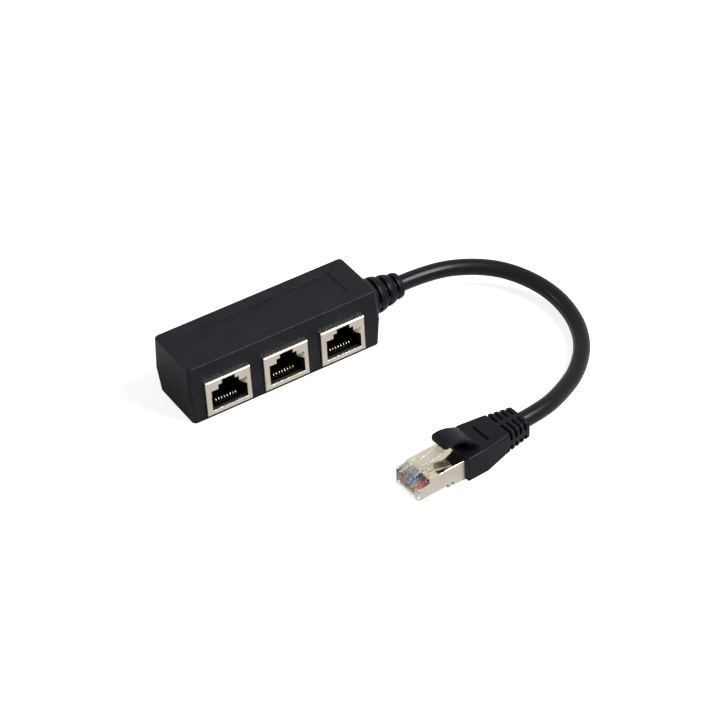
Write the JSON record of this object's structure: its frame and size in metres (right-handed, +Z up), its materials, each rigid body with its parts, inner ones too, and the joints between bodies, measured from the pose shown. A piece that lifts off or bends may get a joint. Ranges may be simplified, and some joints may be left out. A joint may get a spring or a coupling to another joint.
{
  "type": "rj45 splitter adapter",
  "caption": "Network socket splitter housing on a short round cable that ends in a shielded modular plug with a guarded latch.",
  "frame": {"origin": "middle of the housing's underside, halfway between its ends and between the sockets' faces and its back", "axes": "+X along the housing towards the cable, the sockets open towards -Y, +Z up"},
  "size_m": [0.129, 0.0939, 0.0216],
  "materials": {
    "housing_plastic": "fine matte texture",
    "boot_vinyl": "satin",
    "cable_jacket": "glossy",
    "clear_plastic": "clear, glossy",
    "socket_nickel": "satin nickel plate",
    "plug_nickel": "polished nickel plate",
    "gold_contact": "gold plate",
    "insert_plastic": "smooth",
    "board_laminate": "satin",
    "wire_orange": "satin",
    "wire_green": "satin",
    "wire_blue": "satin",
    "wire_brown": "satin"
  },
  "bodies": {
    "root": {"upper_shell": "housing_plastic", "lower_shell": "housing_plastic", "circuit_board": "board_laminate", "strain_relief": "boot_vinyl", "boot": "boot_vinyl", "cable": "cable_jacket", "cable_end_in_housing": "cable_jacket", "cable_end_in_plug": "cable_jacket", "plug_body": "clear_plastic", "plug_load_bar": "clear_plastic", "plug_contacts": "gold_contact", "plug_shield": "plug_nickel", "socket_shield_1": "socket_nickel", "socket_insert_1": "insert_plastic", "socket_carrier_1": "insert_plastic", "socket_contacts_1": "gold_contact", "socket_shield_2": "socket_nickel", "socket_insert_2": "insert_plastic", "socket_carrier_2": "insert_plastic", "socket_contacts_2": "gold_contact", "socket_shield_3": "socket_nickel", "socket_insert_3": "insert_plastic", "socket_carrier_3": "insert_plastic", "socket_contacts_3": "gold_contact", "board_wires_orange": "wire_orange", "plug_wires_orange": "wire_orange", "board_wires_green": "wire_green", "plug_wires_green": "wire_green", "board_wires_blue": "wire_blue", "plug_wires_blue": "wire_blue", "board_wires_brown": "wire_brown", "plug_wires_brown": "wire_brown"},
    "latch": {"plug_latch": "clear_plastic"}
  },
  "joints": [
    {"name": "latch_press", "type": "hinge", "parent": "root", "child": "latch", "pos_m": [0.00377, -0.07586, 0.0079], "axis": [-0.0698, 0.9976, 0], "range_deg": [0, 10], "stiffness_Nm_per_rad": 0.4}
  ]
}
